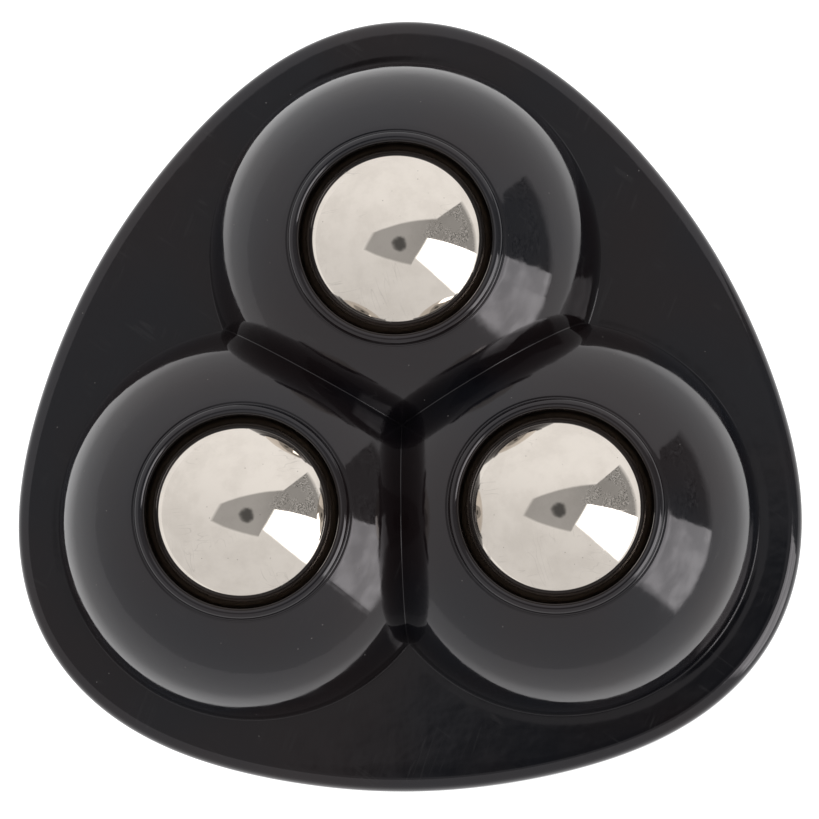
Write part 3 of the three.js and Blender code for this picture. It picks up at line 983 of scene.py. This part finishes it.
def make_base(material):
    """The base plate, with seats for the cups and countersunk holes for the screws."""
    base = plate("base_plate_look", [
        (BASE_INSET + BASE_BEVEL, BACK_Z), (BASE_INSET, BACK_Z + BASE_BEVEL),
        (BASE_INSET, BASE_TOP_Z - BASE_BEVEL), (BASE_INSET + BASE_BEVEL, BASE_TOP_Z),
    ])
    seats = [
        post("seat", CUP_OUTER_RADIUS + CUP_SLACK, CUP_BOTTOM_Z - CUP_DROP, BASE_TOP_Z + PAST,
             station_centre(angle), CUP_STEPS)
        for angle in STATION_ANGLES
    ]
    slack = SCREW_HOLE_RADIUS - SCREW_CREST_RADIUS
    head_radius = SCREW_HEAD_RADIUS + slack
    profile = [
        (0, BACK_Z - PAST), (head_radius, BACK_Z - PAST), (head_radius, SCREW_HEAD_Z),
        (SCREW_HOLE_RADIUS, SCREW_HEAD_Z + SCREW_HEAD_HEIGHT), (SCREW_HOLE_RADIUS, BASE_TOP_Z + PAST),
        (0, BASE_TOP_Z + PAST),
    ]
    holes = [
        solid("hole", *turned(profile, HOLE_STEPS, screw_centre(angle)))
        for angle in SCREW_ANGLES
    ]
    combine(base, seats + holes, "DIFFERENCE")
    finish_piece(base, material, "root", "base_plate")


def make_pad(material):
    """The foam pad, drawn in a little half-way up its edge."""
    height = BACK_Z - LINER_TOP_Z
    layers = [
        (PAD_INSET + PAD_PINCH * (1 - (2 * t - 1) ** 2), LINER_TOP_Z + height * t)
        for t in np.linspace(0, 1, 9)
    ]
    pad = plate("adhesive_pad_look", layers)
    finish_piece(pad, material, "root", "adhesive_pad")


def make_liner(material):
    """The release paper, slit part-way through along one line so that it peels in two halves."""
    liner = plate("release_liner_look", [(PAD_INSET, 0), (PAD_INSET, LINER_TOP_Z)])
    slit = slab("slit", (4 * OUTLINE_RADIUS, SLIT_WIDTH, 2 * SLIT_DEPTH), (0, SLIT_Y, 0))
    combine(liner, [slit], "DIFFERENCE")
    finish_piece(liner, material, "root", "release_liner")


make_cover(gloss_plastic())
make_load_balls(ball_steel())
make_bearing_balls(bearing_steel())
make_cups(plated_steel("cup_steel", (0.55, 0.55, 0.53), (0.40, 0.39, 0.36)))
make_screws(plated_steel("screw_steel", (0.48, 0.48, 0.47), (0.36, 0.34, 0.30)))
make_retainers(sleeve_plastic())
make_base(base_plastic())
make_pad(pad_foam())
make_liner(liner_paper())


# ---- Light, floor and backdrop ----

FLOOR_HALF_SIZE = 200
FLOOR_GAP = 0.1
FLOOR_NEAR = 34
FLOOR_FAR = 45
FLOOR_NEAR_GLOW = 1.3
FLOOR_GLOW = 0.85
WORLD_BRIGHT_SIDE = 70
WORLD_BRIGHT = 1.10
WORLD_DIM = 0.86
SOFTBOX_DISTANCE = 700
SOFTBOX_BRIGHT = 5.2
SOFTBOX_DIM = 3.6
SOFTBOX_SOFT = 0.12
SOFTBOX_CRISP = 0.6
SOFTBOX_CORNERS = ((29.9, 16.5), (88.7, -4.5), (86.3, -40.1), (20.3, -38.7))
ROOM_DISTANCE = 720
ROOM_BRIGHT = 0.46
ROOM_SOFT = 0.12
ROOM_CORNERS = (
    (39.4, -173.8), (31.9, 154.3), (23.3, 90), (49.2, 36.5), (86.9, 36.9), (87.1, 26.9),
    SOFTBOX_CORNERS[1], SOFTBOX_CORNERS[0], SOFTBOX_CORNERS[3],
    (24.2, -61.2), (18.5, -90), (27.6, -157.4),
)
LENS_DARK = 0.10
LENS_PLACE = (0.0, 0.04)
LENS_UNEVEN = 0.012
LENS_OUTSIDE = 0.993
LENS_INSIDE = 1.003
CLUTTER = 0.34


def glow_material(name, strength):
    """An even glow; returns the material, its node tree and the glow."""
    material = bpy.data.materials.new(name)
    material.use_nodes = True
    tree = material.node_tree
    tree.nodes.clear()
    glow = add_node(tree, "ShaderNodeEmission", Strength=strength)
    out = tree.nodes.new("ShaderNodeOutputMaterial")
    tree.links.new(glow.outputs[0], out.inputs[0])
    return material, tree, glow


def softbox_glow():
    """Cloth lit from behind: mottled, and fading into the surround at its edges."""
    material, tree, glow = glow_material("softbox", SOFTBOX_BRIGHT)
    cloth = noise(tree, add_node(tree, "ShaderNodeTexCoord").outputs["Object"], 9.0, 3.0)
    inside = add_node(tree, "ShaderNodeAttribute", {"attribute_name": "inside"}).outputs["Fac"]
    lit = remap(tree, cloth, 0.35, 0.65, SOFTBOX_DIM, SOFTBOX_BRIGHT)
    faded = calculate(tree, "MULTIPLY", calculate(tree, "SUBTRACT", lit, 1.0), inside)
    feed(tree, calculate(tree, "ADD", faded, 1.0), glow.inputs["Strength"])
    return material


def room_glow():
    """The dim room past the light tent: darkest round the camera, with grainy clutter to the right."""
    material, tree, glow = glow_material("room", ROOM_BRIGHT)
    right, up, back = VIEW_AXES
    where = add_node(tree, "ShaderNodeTexCoord").outputs["Object"]
    inside = add_node(tree, "ShaderNodeAttribute", {"attribute_name": "inside"}).outputs["Fac"]
    from_ball = add_node(tree, "ShaderNodeVectorMath", {"operation": "SUBTRACT"}, _0=where,
                         _1=(0, 0, BALL_CENTRE_Z * MM)).outputs[0]
    way = add_node(tree, "ShaderNodeVectorMath", {"operation": "NORMALIZE"}, _0=from_ball).outputs[0]
    lens = (right * LENS_PLACE[0] + up * LENS_PLACE[1] + back).normalized()
    to_lens = add_node(tree, "ShaderNodeVectorMath", {"operation": "DOT_PRODUCT"}, _0=way, _1=lens)
    uneven = calculate(tree, "MULTIPLY", noise(tree, where, 12.0, 3.0), LENS_UNEVEN)
    near_lens = calculate(tree, "ADD", to_lens.outputs["Value"], uneven)
    base = remap(tree, near_lens, LENS_OUTSIDE, LENS_INSIDE, ROOM_BRIGHT, LENS_DARK)
    across = add_node(tree, "ShaderNodeVectorMath", {"operation": "DOT_PRODUCT"}, _0=way, _1=right)
    across = across.outputs["Value"]
    clutter = noise(tree, where, 110.0, 5.0, 0.8)
    spread = noise(tree, where, 9.0, 2.0)
    grain = remap(tree, clutter, 0.42, 0.58, -CLUTTER, CLUTTER)
    grain = calculate(tree, "MULTIPLY", grain, remap(tree, spread, 0.38, 0.58))
    grain = calculate(tree, "MULTIPLY", grain, remap(tree, across, 0.33, 0.55))
    base = calculate(tree, "ADD", base, grain)
    base = calculate(tree, "SUBTRACT", base, remap(tree, across, 0.1, 0.7, 0.0, 0.10))
    faded = calculate(tree, "MULTIPLY", calculate(tree, "SUBTRACT", base, 1.0), inside)
    feed(tree, calculate(tree, "ADD", faded, 1.0), glow.inputs["Strength"])
    return material


def card(name, points, material, soft, crisp=0.0):
    """A glowing sheet seen only in reflections.

    Its "inside" attribute is 1 in the middle and falls to 0 over a soft share of the way to its edge.
    A crisp share near 1 keeps the first edge sharp and gives the softness to the edges across from it.
    """
    outer = np.array([tuple(p) for p in points])
    middle = outer.mean(0) * (1 - crisp) + (outer[0] + outer[1]) / 2 * crisp
    inner = middle + (outer - middle) * (1 - soft)
    count = len(points)
    faces = [(k, (k + 1) % count, count + (k + 1) % count, count + k) for k in range(count)]
    faces.append(tuple(range(count, 2 * count)))
    mesh = bpy.data.meshes.new(name)
    mesh.from_pydata([tuple(p * MM) for p in np.concatenate([outer, inner])], [], faces)
    inside = mesh.attributes.new("inside", "FLOAT", "POINT")
    inside.data.foreach_set("value", [0.0] * count + [1.0] * count)
    item = bpy.data.objects.new(name, mesh)
    bpy.context.scene.collection.objects.link(item)
    mesh.materials.append(material)
    item.visible_camera = False
    item.visible_diffuse = False
    item.visible_shadow = False


def seen_from_ball(directions, distance):
    """Points that far from the axis at the balls' height.

    A direction is its angle off the line to the camera, and its clock angle, anticlockwise from right.
    """
    right, up, back = VIEW_AXES
    centre = Vector((0, 0, BALL_CENTRE_Z))
    points = []
    for lean, clock in directions:
        way = right * sin(lean) * cos(clock) + up * sin(lean) * sin(clock) + back * cos(lean)
        points.append(centre + way * distance)
    return points


def make_cards():
    card("softbox", seen_from_ball(SOFTBOX_CORNERS, SOFTBOX_DISTANCE), softbox_glow(),
         SOFTBOX_SOFT, SOFTBOX_CRISP)
    card("room", seen_from_ball(ROOM_CORNERS, ROOM_DISTANCE), room_glow(), ROOM_SOFT)


def make_world():
    """A white surround, brighter towards WORLD_BRIGHT_SIDE and dimmer on the other side."""
    world = bpy.data.worlds.new("world")
    bpy.context.scene.world = world
    world.use_nodes = True
    tree = world.node_tree
    background = tree.nodes["Background"]
    background.inputs["Color"].default_value = (1, 1, 1, 1)
    where = add_node(tree, "ShaderNodeTexCoord").outputs["Generated"]
    side = add_node(tree, "ShaderNodeVectorMath", {"operation": "DOT_PRODUCT"}, _0=where,
                    _1=(cos(WORLD_BRIGHT_SIDE), sin(WORLD_BRIGHT_SIDE), 0)).outputs["Value"]
    feed(tree, remap(tree, side, -0.9, 0.9, WORLD_DIM, WORLD_BRIGHT), background.inputs["Strength"])
    bpy.context.scene.view_settings.view_transform = "Standard"


def make_floor():
    """A white table that glows a little, more so close round the part, and open under its back."""
    angles = full_turn(OUTLINE_STEPS)
    opening = outline(angles, PAD_INSET - FLOOR_GAP)
    ways = np.stack([np.cos(angles), np.sin(angles)], 1)
    edge = ways / np.abs(ways).max(1, keepdims=True) * FLOOR_HALF_SIZE
    mesh = bpy.data.meshes.new("floor")
    mesh.from_pydata([(x * MM, y * MM, 0) for x, y in np.concatenate([edge, opening])], [],
                     grid_faces(2, len(angles), True))
    floor = bpy.data.objects.new("floor", mesh)
    bpy.context.scene.collection.objects.link(floor)
    material, tree, shader = new_material("floor", (0.25, 0.25, 0.25), 0.9)
    shader.inputs["Specular IOR Level"].default_value = 0.0
    shader.inputs["Emission Color"].default_value = (1, 1, 1, 1)
    where = add_node(tree, "ShaderNodeTexCoord").outputs["Object"]
    reach = add_node(tree, "ShaderNodeVectorMath", {"operation": "LENGTH"}, _0=where).outputs["Value"]
    feed(tree, remap(tree, reach, FLOOR_NEAR * MM, FLOOR_FAR * MM, FLOOR_NEAR_GLOW, FLOOR_GLOW),
         shader.inputs["Emission Strength"])
    mesh.materials.append(material)


make_cards()
make_world()
make_floor()
